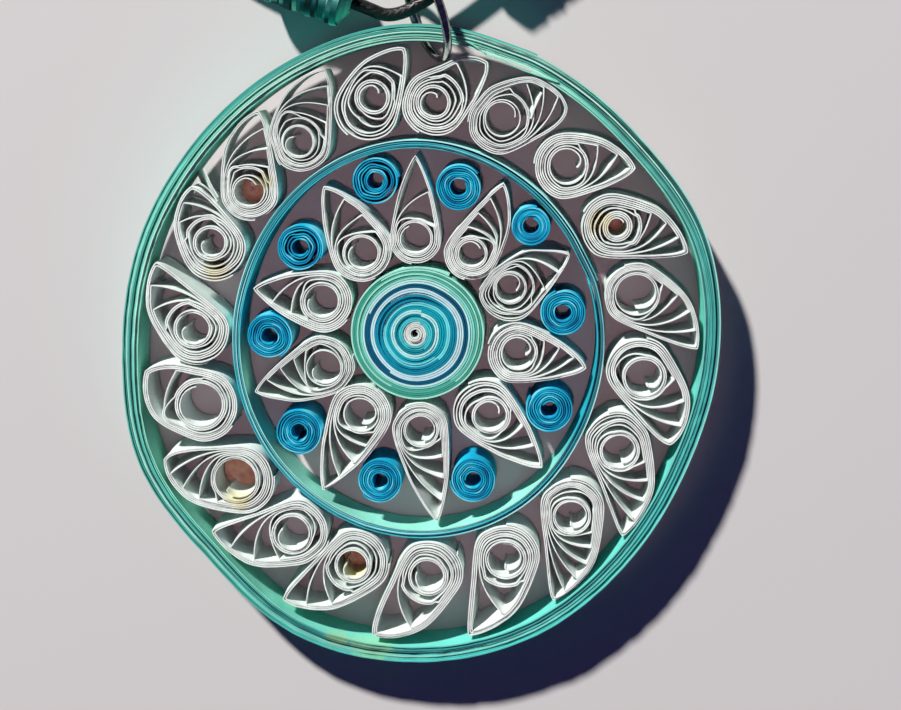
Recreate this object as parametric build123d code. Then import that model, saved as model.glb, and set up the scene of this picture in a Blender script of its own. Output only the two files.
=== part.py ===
from build123d import *
import math
import os

# A quilled paper pendant lying on its back: two wound rings, a striped centre coil, ten small blue
# coils and two rings of white teardrop petals, all wound from flat strip standing on edge.
# It hangs on a steel jump ring threaded by a waxed cord that carries two wound paper beads.
# X is to the right, Y to the hanging end, Z up from the table; millimetres.

# Paper strip
strip_width = 5.0
strip_thickness = 0.2
glue_gap = 0.12

# Outer ring, an oval wound by hand
outer_half_width = 30.1
outer_half_height = 32.45
outer_ring_turns = 9
outer_ring_sides = 60
# How far the hand-wound wall strays from the oval, every 22.5 degrees from +X
outer_stray = (0.3, 0.8, -0.26, -0.27, 0.2, -0.42, -0.66, -0.35,
               -0.15, 0.55, -0.4, 0.5, 0.25, 0.0, -0.6, -0.6)

# Middle ring, a little off the outer ring's centre
middle_half_width = 18.85
middle_half_height = 20.4
middle_ring_turns = 5
middle_ring_sides = 44
middle_centre = (0.2, 1.1)
middle_stray = (0.05, 0.0, -0.1, 0.1, 0.0, -0.1, 0.05, 0.1, -0.05, 0.0, 0.1, -0.1)

# Centre coil
centre_radius = 6.85
centre_hole_radius = 0.35
centre_coil_turns = 4
centre_coil_sides = 18
centre_place = (0.25, 2.1)

# Strip seen in a petal: the turns that lie against each other count as one thicker wall
free_turns = 2
least_turn_pitch = 0.6
head_share_of_depth = 0.38
outer_wall_plies = 2.2
eye_wall_plies = 1.6
turn_ramp = (0.4, 0.75)
head_points = 6
side_places = (0.42, 0.7)

# Outer petals: head's angle, its size beside heads that just touch round the ring, tip's angle, bow
# of the back, fullness, eye's share of the head, and how far the eye lies toward the tip
outer_petals = (
    (101.9, 0.83, 91.1, 0.35, 1.8, 0.33, 1.20),
    (85.9, 0.85, 75.2, 0.30, 1.9, 0.33, -0.10),
    (70.0, 0.88, 57.0, 0.60, 2.6, 0.42, 0.20),
    (50.6, 0.83, 39.9, 0.30, 1.8, 0.45, 0.05),
    (31.8, 0.83, 20.4, 0.55, 2.0, 0.42, 0.45),
    (13.2, 0.83, 0.8, 0.60, 2.0, 0.56, 0.00),
    (-6.3, 0.87, -21.0, 0.75, 2.3, 0.48, 0.85),
    (-26.2, 0.85, -42.6, 0.85, 2.0, 0.45, 0.90),
    (-47.2, 0.85, -62.4, 0.80, 2.0, 0.43, 0.80),
    (-67.8, 0.89, -80.5, 0.75, 1.9, 0.44, 0.35),
    (-87.1, 0.88, -99.8, 0.70, 2.3, 0.43, 0.50),
    (-105.6, 0.89, -119.2, 0.70, 1.9, 0.38, 0.50),
    (-122.5, 0.91, -139.6, 0.85, 2.0, 0.44, 0.30),
    (-141.9, 0.93, -158.2, 0.65, 2.3, 0.54, 0.45),
    (-163.4, 0.97, -176.9, 0.55, 2.6, 0.55, 0.10),
    (177.4, 0.87, 159.6, 0.70, 1.9, 0.40, 0.35),
    (155.0, 0.85, 142.0, 0.45, 2.0, 0.35, 0.55),
    (137.6, 0.75, 121.4, 0.50, 2.2, 0.45, 0.00),
    (119.8, 0.81, 106.4, 0.40, 2.0, 0.38, -0.20),
)


# Inner petals, in the same order of values
inner_petals = (
    (91.5, 0.82, 90.4, 0.0, 1.6, 0.52, 0.15),
    (56.7, 0.88, 62.2, -0.35, 1.8, 0.48, 0.00),
    (26.9, 1.06, 30.9, 0.20, 1.5, 0.47, 0.05),
    (-10.5, 1.01, -8.0, 0.10, 1.5, 0.48, 0.05),
    (-49.6, 1.04, -45.1, 0.0, 1.6, 0.44, 0.85),
    (-89.1, 0.93, -83.8, 0.0, 1.7, 0.50, 0.05),
    (-125.6, 1.03, -122.4, 0.10, 1.7, 0.48, 0.00),
    (-159.9, 1.06, -162.9, 0.15, 1.5, 0.50, -0.15),
    (161.4, 1.01, 161.6, 0.0, 1.6, 0.48, 0.00),
    (124.2, 1.01, 120.4, -0.10, 1.6, 0.48, -0.25),
)


# Blue coils, one between the tips of each two inner petals, and how far round from the middle
blue_astray = (-1.2, 0.0, 1.2, 0.2, -3.8, -2.6, -0.4, -2.3, -0.6, -1.3)
blue_radius = 2.4
blue_hole_radius = 0.75
blue_coil_turns = 1
blue_coil_sides = 12

# Jump ring round the outer ring's wall, leaning and turned as it came to lie
wire_diameter = 0.85
wire_sides = 8
jump_inner_radius = 4.3
jump_clearance = 0.15
jump_raise = 0.4
jump_lean = 20.0
jump_turned = 20.0
jump_angle = 88.2
jump_slit = 0.12
jump_slit_angle = 70.0

# Wound beads, laid from their inner ends, measured from the jump ring
bead_radius = 3.0
bead_length = 9.5
bead_turns = 2
bead_sides = 14
left_bead_end = (-7.4, 0.95)
left_bead_heading = 160.5
right_bead_end = (4.5, 5.4)
right_bead_heading = 38.0

# Waxed cord: its height at the jump ring, and the points between and beyond the beads
cord_diameter = 1.3
cord_sides = 8
cord_clearance = 0.12
cord_left_tail = ((-22.6, 6.9, 1.9), (-28.6, 10.2, 1.25), (-35.0, 12.4, 1.25))
cord_at_ring = ((-3.6, -0.65, 2.5), (0.7, 1.55, 2.4))
cord_right_tail = ((18.6, 15.4, 1.3), (24.6, 18.6, 0.7))
coil_place = (19.0, 27.0)
coil_mid_radius = 7.0
coil_turns_across = 3
coil_turns_high = 3
coil_entry_angle = -38.0
coil_leave_angle = 115.0

# Steel crimp on each end of the cord
crimp_radius = 1.15
crimp_sides = 10
crimp_length = 6.0
crimp_eye_length = 2.6
crimp_eye_thickness = 0.8
crimp_eye_hole = 1.2


def polar(centre, radius, angle):
    """A point at an angle in degrees about a centre."""
    a = math.radians(angle)
    return (centre[0] + radius * math.cos(a), centre[1] + radius * math.sin(a))


def towards(a, b):
    """Length and unit direction from point a to point b."""
    dx = b[0] - a[0]
    dy = b[1] - a[1]
    length = math.hypot(dx, dy)
    return length, (dx / length, dy / length)


def smooth(values, angle):
    """Values given at even angles, joined round the circle by a smooth curve."""
    n = len(values)
    place = (angle % 360) * n / 360
    i = int(place)
    t = place - i
    a, b, c, d = (values[(i + k) % n] for k in (-1, 0, 1, 2))
    return b + 0.5 * t * (c - a + t * (2 * a - 5 * b + 4 * c - d + t * (3 * (b - c) + d - a)))


class Oval:
    """A wall standing on an oval, with the hand's stray from it."""

    def __init__(self, centre, half_width, half_height, stray=(0.0,) * 4):
        self.centre = centre
        self.half_width = half_width
        self.half_height = half_height
        self.stray = stray

    def radius(self, angle):
        a = math.radians(angle)
        flat = math.hypot(self.half_height * math.cos(a), self.half_width * math.sin(a))
        return self.half_width * self.half_height / flat + smooth(self.stray, angle)

    def point(self, angle, inside=0.0):
        return polar(self.centre, self.radius(angle) - inside, angle)

    def grown(self, more):
        return Oval(self.centre, self.half_width + more, self.half_height + more, self.stray)

    def depth(self, p):
        """How far a point lies inside the wall, measured along its radius."""
        length, way = towards(self.centre, p)
        return self.radius(math.degrees(math.atan2(way[1], way[0]))) - length


def gap_to_edge(p, a, b):
    """Distance from a point to the edge from a to b."""
    dx = b[0] - a[0]
    dy = b[1] - a[1]
    t = ((p[0] - a[0]) * dx + (p[1] - a[1]) * dy) / (dx * dx + dy * dy)
    t = min(1.0, max(0.0, t))
    return math.hypot(p[0] - a[0] - t * dx, p[1] - a[1] - t * dy)


def gap_to(p, outline):
    """Distance from a point to a closed outline, negative inside, and the nearest edge."""
    best = None
    inside = False
    for i, a in enumerate(outline):
        b = outline[(i + 1) % len(outline)]
        gap = gap_to_edge(p, a, b)
        if best is None or gap < best[0]:
            best = (gap, i)
        if (a[1] > p[1]) != (b[1] > p[1]):
            if p[0] < a[0] + (p[1] - a[1]) * (b[0] - a[0]) / (b[1] - a[1]):
                inside = not inside
    return (-best[0] if inside else best[0]), best[1]


def teardrop(head, radius, tip, bow, fullness):
    """Outline of a petal: round behind the head, its two sides meeting at the tip."""
    length, way = towards(head, tip)
    left = (-way[1], way[0])
    turn = math.degrees(math.atan2(way[1], way[0]))

    def side(u, sign):
        off = 4 * u * (1 - u) * bow + sign * radius * (1 - u ** fullness)
        return (head[0] + way[0] * u * length + left[0] * off,
                head[1] + way[1] * u * length + left[1] * off)

    back = [polar(head, radius, turn + 90 + 180 * k / (head_points - 1)) for k in range(head_points)]
    rising = [side(u, -1) for u in side_places]
    falling = [side(u, 1) for u in reversed(side_places)]
    return back + rising + [tip] + falling


def pull_in(outline, i, eye, room):
    """Move one point of an outline toward the eye, as far as it lacks room."""
    length, way = towards(outline[i], eye)
    step = min(0.2 * length, max(glue_gap / 4, 0.7 * (glue_gap - room)))
    outline[i] = (outline[i][0] + way[0] * step, outline[i][1] + way[1] * step)


def pressed(outline, eye, placed, inner_wall, outer_wall):
    """The outline as its neighbours and the two walls press it, a gap of glue from each."""
    outline = list(outline)
    reach = max(math.dist(eye, p) for p in outline)
    near = [other for other in placed if any(math.dist(eye, p) < 1.5 * reach for p in other)]
    busy = True
    while busy:
        busy = False
        for i, p in enumerate(outline):
            room = min(-inner_wall.depth(p), outer_wall.depth(p))
            for other in near:
                room = min(room, gap_to(p, other)[0])
            if room < glue_gap:
                pull_in(outline, i, eye, room)
                busy = True
        for other in near:
            for p in other:
                room, edge = gap_to(p, outline)
                if room < glue_gap:
                    pull_in(outline, edge, eye, room)
                    pull_in(outline, (edge + 1) % len(outline), eye, room)
                    busy = True
    return outline


def petal_ring(rows, inner_wall, outer_wall, obstacles=()):
    """Outline, eye and eye's radius of each petal of a ring, heads on the inner wall."""
    petals = []
    mean_radius = (inner_wall.half_width + inner_wall.half_height) / 2
    half_pitch = math.sin(math.pi / len(rows))
    touching = mean_radius * half_pitch / (1 - half_pitch)
    for head_angle, head_size, tip_angle, bow, fullness, eye_share, eye_lead in rows:
        depth = outer_wall.depth(inner_wall.point(head_angle))
        head_radius = min(head_size * touching, head_share_of_depth * depth)
        seat = inner_wall.radius(head_angle) + glue_gap + head_radius
        head = polar(inner_wall.centre, seat, head_angle)
        tip = outer_wall.point(tip_angle, glue_gap)
        length, way = towards(head, tip)
        eye = (head[0] + way[0] * eye_lead, head[1] + way[1] * eye_lead)
        outline = teardrop(head, head_radius, tip, bow, fullness)
        placed = [done[0] for done in petals] + list(obstacles)
        outline = pressed(outline, eye, placed, inner_wall, outer_wall)
        petals.append((outline, eye, head_radius * eye_share))
    return petals


def corner(before, p, after, off):
    """The point beside a corner of a path, off to its left, on both offset edges."""
    way_in = towards(before, p)[1]
    way_out = towards(p, after)[1]
    x = -(way_in[1] + way_out[1])
    y = way_in[0] + way_out[0]
    scale = off / max(0.35, math.hypot(x, y) ** 2 / 2)
    return (p[0] + x * scale, p[1] + y * scale)


def inset(outline, off):
    """A closed outline, drawn counterclockwise, moved inward."""
    n = len(outline)
    return [corner(outline[i - 1], outline[i], outline[(i + 1) % n], off) for i in range(n)]


def strip_face(path, halves):
    """The top of a strip that stands along a path, with half the wall at each of its points."""
    left = []
    right = []
    for i, p in enumerate(path):
        before = path[i - 1] if i else (2 * p[0] - path[1][0], 2 * p[1] - path[1][1])
        after = path[i + 1] if i < len(path) - 1 else (2 * p[0] - before[0], 2 * p[1] - before[1])
        left.append(corner(before, p, after, halves[i]))
        right.append(corner(before, p, after, -halves[i]))
    return make_face(Polyline(*left, *reversed(right), close=True))


def petal_solid(outline, eye, eye_radius):
    """One strip wound from the eye: free turns, then those that lie against each other outside."""
    outer_plies = strip_thickness * outer_wall_plies
    wall = make_face(Polyline(*outline, close=True))
    wall -= make_face(Polyline(*inset(outline, outer_plies), close=True))
    rim = inset(outline, outer_plies / 2)
    spokes = len(rim)
    narrowest = min(math.dist(eye, p) for p in rim)
    turns = max(1, min(free_turns, int(0.8 * narrowest / least_turn_pitch)))
    eye_most = narrowest - turns * least_turn_pitch
    path = []
    halves = []
    for k in range(turns * spokes + 3):
        turn, spoke = divmod(k, spokes)
        level = turn
        if turn and spoke < len(turn_ramp):
            level -= 1 - turn_ramp[spoke]
        length, way = towards(eye, rim[spoke])
        start = max(strip_thickness, min(eye_radius, eye_most))
        r = start + (length - start) * level / turns
        path.append((eye[0] + way[0] * r, eye[1] + way[1] * r))
        plies = eye_wall_plies if turn == 0 and 1 < spoke < spokes - 1 else 1.0
        halves.append(strip_thickness * plies / 2)
    return extrude(wall + strip_face(path, halves), amount=strip_width)


def wound_ring(wall, turns, sides, seam_angle):
    """A ring wound tight from many turns: both faces step by one strip where it starts and ends."""
    def loop(depth):
        points = []
        for k in range(sides + 1):
            step = strip_thickness * (1 - k / sides)
            points.append(wall.point(seam_angle + 360 * k / sides, depth + step))
        return make_face(Polyline(*points, close=True))
    return extrude(loop(0) - loop((turns - 1) * strip_thickness), amount=strip_width)


def coil_solid(centre, hole_radius, radius, turns, sides, seam_angle, width):
    """A round coil: one strip wall wound out from the hole, round inside and out."""
    pitch = (radius - hole_radius) / turns
    path = []
    halves = []
    for k in range((turns + 1) * sides):
        outer = min(radius, hole_radius + strip_thickness + pitch * k / sides)
        inner = max(hole_radius, hole_radius + strip_thickness + glue_gap + pitch * (k / sides - 1))
        if outer - inner > strip_thickness / 2:
            path.append(polar(centre, (outer + inner) / 2, seam_angle + 360 * k / sides))
            halves.append((outer - inner) / 2)
    return extrude(strip_face(path, halves), amount=width)


def blue_coil_place(angle, wall, outlines):
    """Where a blue coil lies: pushed in from the wall until it meets its petals, and its radius."""
    radius = blue_radius
    while True:
        centre = wall.point(angle, glue_gap + radius)
        room = min(gap_to(centre, outline)[0] for outline in outlines)
        if room >= radius + glue_gap:
            break
        radius -= glue_gap / 4
    depth = glue_gap + radius
    while room >= radius + glue_gap:
        depth += glue_gap / 4
        centre = wall.point(angle, depth)
        room = min(gap_to(centre, outline)[0] for outline in outlines)
    return wall.point(angle, depth - glue_gap / 4), radius


def jump_ring_place(wall, width):
    """Centre of the jump ring, hung on the wall with a clearance at the wall's lower edge."""
    lean = math.radians(jump_lean)
    turned = math.radians(jump_turned)
    height = strip_width / 2 + jump_raise
    down = -(height + jump_clearance) / math.cos(lean)
    across = math.sqrt((jump_inner_radius - jump_clearance) ** 2 - down ** 2)
    out = across * math.cos(turned) - down * math.sin(lean) * math.sin(turned)
    x, y = wall.point(jump_angle, width - out)
    return (x, y, height)


def jump_ring_shadow(place):
    """The jump ring's outline seen from above, grown by its clearance, for the petals beside it."""
    long_half = jump_inner_radius + wire_diameter + jump_clearance
    short_half = long_half * math.sin(math.radians(jump_lean)) + wire_diameter / 2
    turned = math.radians(jump_turned)
    outline = []
    for k in range(bead_sides):
        x, y = polar((0, 0), 1, 360 * k / bead_sides)
        x *= short_half
        y *= long_half
        outline.append((place[0] + x * math.cos(turned) - y * math.sin(turned),
                        place[1] + x * math.sin(turned) + y * math.cos(turned)))
    return outline


def jump_ring_solid(place):
    """A wire ring with its two ends butted, standing on the wall."""
    bend = jump_inner_radius + wire_diameter / 2
    wire = Plane.XZ * Pos(bend, 0) * RegularPolygon(wire_diameter / 2, wire_sides)
    ring = revolve(wire, Axis.Z, 360 - math.degrees(jump_slit / bend))
    lie = Rot(0, 0, jump_turned) * Rot(0, 90 + jump_lean, 0) * Rot(0, 0, jump_slit_angle)
    return Pos(*place) * lie * ring


def bead_solid(end, heading):
    """A roll of strip on its side, its bore along the heading from its inner end."""
    bore = cord_diameter / 2 + cord_clearance
    roll = coil_solid((0, 0), bore, bead_radius, bead_turns, bead_sides, 90, bead_length)
    return Pos(end[0], end[1], bead_radius) * Rot(0, 0, heading) * Rot(0, 90, 0) * roll


def crimp_solid(start, heading):
    """A barrel crimped on the cord's end, with a flat eye for a clasp."""
    barrel = extrude(RegularPolygon(crimp_radius, crimp_sides), amount=crimp_length)
    eye_middle = crimp_length + crimp_eye_length / 2
    eye = Pos(0, 0, eye_middle) * Box(crimp_eye_thickness, 2 * crimp_radius, crimp_eye_length)
    hole = Pos(0, 0, eye_middle) * Rot(0, 90, 0) * Cylinder(crimp_eye_hole / 2, 2 * crimp_radius)
    return Pos(*start) * Rot(0, 0, heading) * Rot(0, 90, 0) * (barrel + eye - hole)


def cord_solid(points):
    """A round cord along straight runs joined by tangent arcs, as large as the runs allow."""
    runs = [Vector(*b) - Vector(*a) for a, b in zip(points, points[1:])]
    radii = []
    for run, following in zip(runs, runs[1:]):
        turn = math.radians(run.get_angle(following))
        radii.append(0.45 * min(run.length, following.length) / math.tan(turn / 2))
    path = FilletPolyline(*points, radius=radii)
    section = RegularPolygon(cord_diameter / 2, cord_sides)
    tube = sweep(Plane(path @ 0, z_dir=path % 0) * section, path=path)
    print("cord", round(path.length, 1), "mm, radii", [round(r, 1) for r in radii])
    print("cord volume over section times length", round(tube.volume / (section.area * path.length), 4))
    return tube


def put_away_coil(centre):
    """The outer shape of the cord's unseen length, wound into a round coil."""
    across = coil_turns_across * cord_diameter
    high = coil_turns_high * cord_diameter
    outer = Cylinder(coil_mid_radius + across / 2, high, align=(Align.CENTER, Align.CENTER, Align.MIN))
    inner = Cylinder(coil_mid_radius - across / 2, high, align=(Align.CENTER, Align.CENTER, Align.MIN))
    return Pos(*centre) * (outer - inner)


# Walls that the pieces seat on
outer_width = outer_ring_turns * strip_thickness
middle_width = middle_ring_turns * strip_thickness
outer_wall = Oval((0, 0), outer_half_width, outer_half_height, outer_stray)
outer_inside = outer_wall.grown(-outer_width)
middle_wall = Oval(middle_centre, middle_half_width, middle_half_height, middle_stray)
middle_inside = middle_wall.grown(-middle_width)
centre_wall = Oval(centre_place, centre_radius, centre_radius)

# The pendant, flat on its back
pendant = {}
pendant["outer_ring"] = wound_ring(outer_wall, outer_ring_turns, outer_ring_sides, 68)
pendant["middle_ring"] = wound_ring(middle_wall, middle_ring_turns, middle_ring_sides, 20)
pendant["centre_coil"] = coil_solid(centre_place, centre_hole_radius, centre_radius,
                                    centre_coil_turns, centre_coil_sides, 60, strip_width)
inner_ring_petals = petal_ring(inner_petals, centre_wall, middle_inside)
for number, petal in enumerate(inner_ring_petals, start=1):
    pendant[f"inner_petal_{number:02d}"] = petal_solid(*petal)
jump_place = jump_ring_place(outer_wall, outer_width)
outer_ring_petals = petal_ring(outer_petals, middle_wall, outer_inside, [jump_ring_shadow(jump_place)])
for number, petal in enumerate(outer_ring_petals, start=1):
    pendant[f"outer_petal_{number:02d}"] = petal_solid(*petal)
inner_outlines = [outline for outline, eye, eye_radius in inner_ring_petals]
for number, astray in enumerate(blue_astray, start=1):
    tip = inner_petals[number - 1][2]
    next_tip = inner_petals[number % len(inner_petals)][2]
    angle = tip - (tip - next_tip) % 360 / 2 + astray
    place, radius = blue_coil_place(angle, middle_inside, inner_outlines)
    pendant[f"blue_coil_{number:02d}"] = coil_solid(place, blue_hole_radius, radius,
                                                    blue_coil_turns, blue_coil_sides, angle, strip_width)
pendant["jump_ring"] = jump_ring_solid(jump_place)

# It lies on the table on its lower edge and the jump ring, so it tips a little
bend = jump_inner_radius + wire_diameter / 2
drop = bend * math.cos(math.radians(jump_lean)) + wire_diameter / 2 - jump_place[2]
tip_angle = math.degrees(math.atan2(drop, jump_place[1] + outer_half_height))
tipped = {name: Rot(tip_angle, 0, 0) * solid for name, solid in pendant.items()}
box = Compound(list(tipped.values())).bounding_box()
seat = Vector(-(box.min.X + box.max.X) / 2, -(box.min.Y + box.max.Y) / 2, -box.min.Z)
nodes = {name: Pos(seat) * solid for name, solid in tipped.items()}

# The beads and the cord lie on the table, from the jump ring outwards
ring_at = (jump_place[0] + seat.X, jump_place[1] + seat.Y)


def from_ring(place):
    """A point given from the jump ring's centre, in the part's frame."""
    return (ring_at[0] + place[0], ring_at[1] + place[1], *place[2:])


def along_bead(end, heading, distance):
    """A point on a bead's bore, measured from its inner end."""
    x, y = polar(from_ring(end), distance, heading)
    return (x, y, bead_radius)


nodes["bead_left"] = bead_solid(from_ring(left_bead_end), left_bead_heading)
nodes["bead_right"] = bead_solid(from_ring(right_bead_end), right_bead_heading)
left_tail = [from_ring(p) for p in reversed(cord_left_tail)]
right_tail = [from_ring(p) for p in cord_right_tail]
coil_centre = from_ring(coil_place)
coil_beside = coil_mid_radius + coil_turns_across * cord_diameter / 2 + cord_clearance
entry = polar(coil_centre, coil_beside + cord_diameter / 2, coil_entry_angle)
route = left_tail
route.append(along_bead(left_bead_end, left_bead_heading, bead_length + cord_diameter))
route.append(along_bead(left_bead_end, left_bead_heading, -cord_diameter))
route += [from_ring(p) for p in cord_at_ring]
route.append(along_bead(right_bead_end, right_bead_heading, -cord_diameter))
route.append(along_bead(right_bead_end, right_bead_heading, bead_length + cord_diameter))
route += right_tail
route.append((entry[0], entry[1], right_tail[-1][2]))
nodes["neck_cord"] = cord_solid(route)
nodes["cord_coil"] = put_away_coil(coil_centre)

# Crimps: one where the route starts, one beside the coil where the cord leaves it
first = Vector(*route[0]) - Vector(*route[1])
heading = math.degrees(math.atan2(first.Y, first.X))
nodes["crimp_left"] = crimp_solid(route[0], heading)
leave = polar(coil_centre, coil_beside + crimp_radius, coil_leave_angle)
nodes["crimp_right"] = crimp_solid((leave[0], leave[1], crimp_radius), coil_leave_angle + 90)

os.makedirs("parts", exist_ok=True)
for name, solid in nodes.items():
    export_step(solid, f"parts/{name}.step")
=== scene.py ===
import math
import random

import bmesh
import bpy
import numpy as np
from mathutils import Matrix, Vector


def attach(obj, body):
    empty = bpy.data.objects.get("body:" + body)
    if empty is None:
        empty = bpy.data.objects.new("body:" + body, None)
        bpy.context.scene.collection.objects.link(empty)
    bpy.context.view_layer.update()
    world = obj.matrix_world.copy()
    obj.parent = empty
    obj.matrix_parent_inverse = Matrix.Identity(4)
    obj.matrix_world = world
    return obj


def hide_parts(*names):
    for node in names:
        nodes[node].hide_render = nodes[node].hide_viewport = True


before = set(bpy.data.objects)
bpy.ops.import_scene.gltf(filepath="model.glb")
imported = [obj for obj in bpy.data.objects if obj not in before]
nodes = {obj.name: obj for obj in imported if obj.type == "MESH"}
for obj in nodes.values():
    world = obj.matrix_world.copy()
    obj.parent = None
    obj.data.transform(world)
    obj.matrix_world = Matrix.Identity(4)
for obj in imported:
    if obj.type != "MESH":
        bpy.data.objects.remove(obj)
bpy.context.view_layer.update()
scene = bpy.context.scene
scene.view_settings.view_transform = "Standard"

MM = 0.001
STRIP_WIDTH = 5.0 * MM
# Half the strip's width in millimetres: how high its drawn line runs above the pendant's back
MID = 2.5

# How the pendant lies: tipped a little on its jump ring, then set on the table
PENDANT_TIP = math.radians(1.7031)
PENDANT_SEAT = Vector((-0.2824, -2.8426, 0.9682)) * MM
LIE = Matrix.Translation(PENDANT_SEAT) @ Matrix.Rotation(PENDANT_TIP, 4, "X")
UNLIE = LIE.inverted()


# ---------------------------------------------------------------- camera

def photo_camera():
    """A close camera above the hanging end, looking down at the pendant's right half."""
    eye = Vector((10.85, 28.1, 155.0)) * MM
    aim = Vector((3.5, 0.03, 5.0)) * MM
    seen_width = 90.1 * MM
    ahead = (aim - eye).normalized()
    right = ahead.cross(Vector((0, 1, 0))).normalized()
    turn = Matrix((right, right.cross(ahead), -ahead)).transposed().to_4x4()
    data = bpy.data.cameras.new("photo_camera")
    data.sensor_width = 36
    data.lens = data.sensor_width * (aim - eye).length / seen_width
    data.clip_start = 0.01
    camera = bpy.data.objects.new("photo_camera", data)
    scene.collection.objects.link(camera)
    camera.matrix_world = LIE @ Matrix.Translation(eye) @ turn
    scene.camera = camera


photo_camera()


# ---------------------------------------------------------------- node trees

class Board:
    """A node tree being drawn: each call adds a node, sets its values and wires its inputs."""

    def __init__(self, tree):
        self.tree = tree

    def add(self, kind, inputs=None, **settings):
        node = self.tree.nodes.new(kind)
        for key, value in settings.items():
            setattr(node, key, value)
        for key, value in (inputs or {}).items():
            if isinstance(value, bpy.types.NodeSocket):
                self.wire(value, node.inputs[key])
            else:
                node.inputs[key].default_value = value
        return node

    def out(self, kind, inputs=None, **settings):
        """The first output of a new node."""
        return self.add(kind, inputs, **settings).outputs[0]

    def wire(self, value, socket):
        self.tree.links.new(value, socket)

    def calc(self, operation, a, b=0.0):
        return self.out("ShaderNodeMath", {0: a, 1: b}, operation=operation)

    def plus(self, a, b):
        return self.calc("ADD", a, b)

    def minus(self, a, b):
        return self.calc("SUBTRACT", a, b)

    def times(self, a, b):
        return self.calc("MULTIPLY", a, b)

    def vector(self, operation, a, b=(0, 0, 0), scale=1.0):
        inputs = {0: a, 3: scale} if operation == "SCALE" else {0: a, 1: b}
        node = self.add("ShaderNodeVectorMath", inputs, operation=operation)
        return node.outputs["Value" if operation == "DISTANCE" else "Vector"]

    def parts(self, vector):
        return self.add("ShaderNodeSeparateXYZ", {0: vector}).outputs

    def upward(self, height):
        return self.out("ShaderNodeCombineXYZ", {"Z": height})

    def place(self):
        """Where a shaded point lies in the part's frame."""
        return self.add("ShaderNodeTexCoord").outputs["Object"]

    def read(self, name):
        """A value marked on the lines that a piece was drawn from."""
        if self.tree.type == "GEOMETRY":
            return self.out("GeometryNodeInputNamedAttribute", {"Name": name}, data_type="FLOAT")
        return self.add("ShaderNodeAttribute", attribute_name=name).outputs["Fac"]

    def clouds(self, place, scale, detail=2.0, distortion=0.0):
        return self.out("ShaderNodeTexNoise", {"Vector": place, "Scale": scale, "Detail": detail,
                                               "Distortion": distortion})

    def waves(self, value, scale=1.0):
        """Smooth chance along a single value."""
        return self.out("ShaderNodeTexNoise", {"W": value, "Scale": scale},
                        noise_dimensions="1D")

    def span(self, value, low, high, out_low=0.0, out_high=1.0):
        """A value's range carried to another, with soft ends."""
        return self.add("ShaderNodeMapRange", {"Value": value, "From Min": low, "From Max": high,
                                               "To Min": out_low, "To Max": out_high},
                        interpolation_type="SMOOTHSTEP").outputs["Result"]

    def blend(self, share, a, b):
        """Colour a, with a share of colour b."""
        node = self.add("ShaderNodeMix", {0: share}, data_type="RGBA")
        for socket, value in ((node.inputs[6], a), (node.inputs[7], b)):
            if isinstance(value, bpy.types.NodeSocket):
                self.wire(value, socket)
            else:
                socket.default_value = (*value, 1.0)
        return node.outputs[2]

    def ramp(self, value, stops, hard=False):
        """Colours set along a value from 0 to 1."""
        node = self.add("ShaderNodeValToRGB", {0: value})
        node.color_ramp.interpolation = "CONSTANT" if hard else "LINEAR"
        elements = node.color_ramp.elements
        while len(elements) > 1:
            elements.remove(elements[-1])
        elements[0].position = stops[0][0]
        elements[0].color = (*stops[0][1], 1.0)
        for place, colour in stops[1:]:
            elements.new(place).color = (*colour, 1.0)
        return node.outputs[0]


def drawn_tree(name, kind, inputs, outputs):
    """A new node group with its named inputs and outputs, and the board to draw it on."""
    tree = bpy.data.node_groups.new(name, kind)
    for way, sockets in (("INPUT", inputs), ("OUTPUT", outputs)):
        for label, socket, *default in sockets:
            made = tree.interface.new_socket(label, in_out=way, socket_type="NodeSocket" + socket)
            if default:
                made.default_value = default[0]
    board = Board(tree)
    return board, board.add("NodeGroupInput").outputs, board.add("NodeGroupOutput").inputs


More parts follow.
